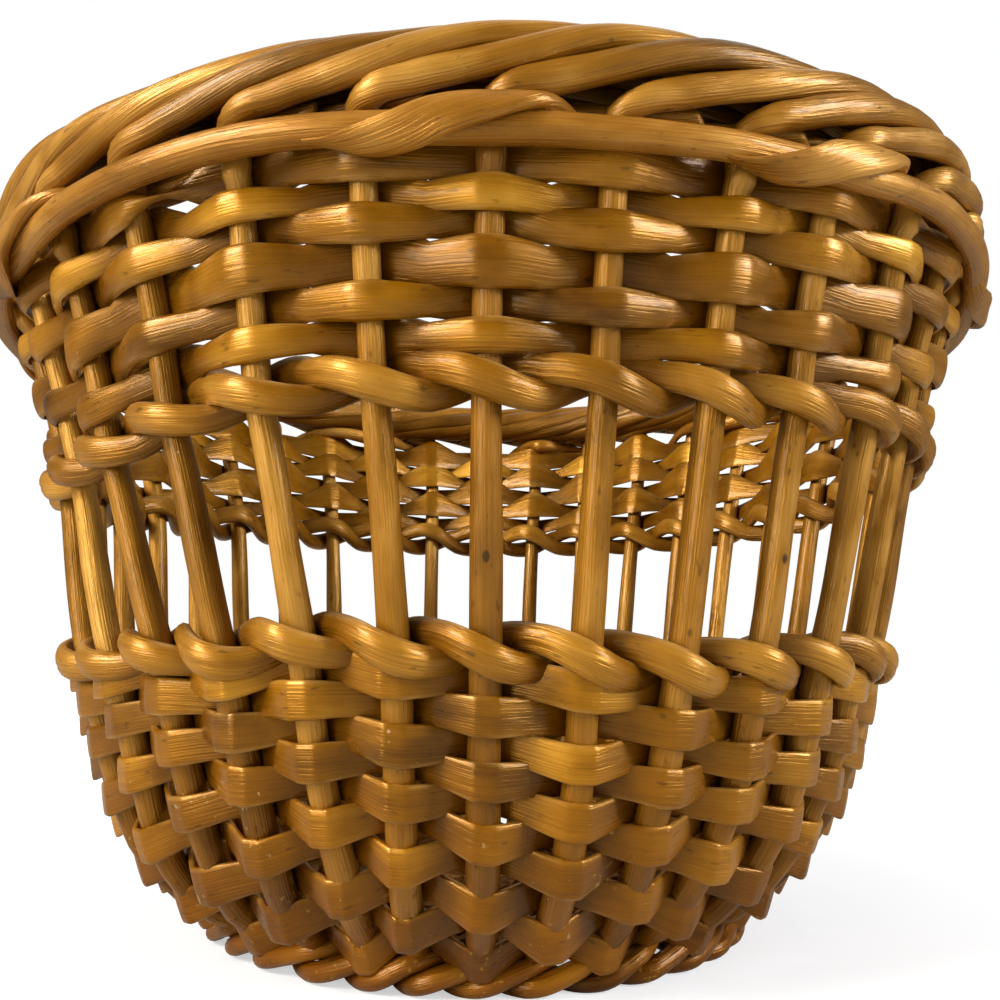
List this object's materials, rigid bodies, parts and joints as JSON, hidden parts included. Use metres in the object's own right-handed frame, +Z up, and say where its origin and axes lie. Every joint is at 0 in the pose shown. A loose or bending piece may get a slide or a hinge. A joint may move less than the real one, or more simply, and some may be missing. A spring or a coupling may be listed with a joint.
{
  "type": "wicker planter basket",
  "caption": "Round flared wicker basket that holds a plant pot, with a rolled rim, an open band and a closed lower wall.",
  "frame": {"origin": "centre of the foot ring, on the ground that the basket stands on", "axes": "+Z up along the basket's axis, -Y towards the side that the picture shows, +X to its right"},
  "size_m": [0.1852, 0.186, 0.1223],
  "materials": {
    "stake_willow": "varnished",
    "split_willow": "varnished",
    "twining_willow": "varnished",
    "border_willow": "varnished",
    "base_willow": "varnished"
  },
  "bodies": {
    "root": {"stake_01": "stake_willow", "stake_02": "stake_willow", "stake_03": "stake_willow", "stake_04": "stake_willow", "stake_05": "stake_willow", "stake_06": "stake_willow", "stake_07": "stake_willow", "stake_08": "stake_willow", "stake_09": "stake_willow", "stake_10": "stake_willow", "stake_11": "stake_willow", "stake_12": "stake_willow", "stake_13": "stake_willow", "stake_14": "stake_willow", "stake_15": "stake_willow", "stake_16": "stake_willow", "stake_17": "stake_willow", "stake_18": "stake_willow", "stake_19": "stake_willow", "stake_20": "stake_willow", "stake_21": "stake_willow", "stake_22": "stake_willow", "stake_23": "stake_willow", "stake_24": "stake_willow", "stake_25": "stake_willow", "stake_26": "stake_willow", "stake_27": "stake_willow", "stake_28": "stake_willow", "stake_29": "stake_willow", "stake_30": "stake_willow", "stake_31": "stake_willow", "stake_32": "stake_willow", "stake_33": "stake_willow", "stake_34": "stake_willow", "upper_row_1": "split_willow", "upper_row_2": "split_willow", "upper_row_3": "split_willow", "upper_row_4": "split_willow", "upper_row_5": "split_willow", "upper_row_6": "split_willow", "lower_row_01": "split_willow", "lower_row_02": "split_willow", "lower_row_03": "split_willow", "lower_row_04": "split_willow", "lower_row_05": "split_willow", "lower_row_06": "split_willow", "lower_row_07": "split_willow", "lower_row_08": "split_willow", "lower_row_09": "split_willow", "lower_row_10": "split_willow", "upper_twine_a": "twining_willow", "upper_twine_b": "twining_willow", "lower_twine_a": "twining_willow", "lower_twine_b": "twining_willow", "foot_rod_a": "border_willow", "foot_rod_b": "border_willow", "border_rod_outer": "border_willow", "border_rod_inner": "border_willow", "base_sticks": "base_willow", "base_weaver": "base_willow"}
  },
  "joints": []
}
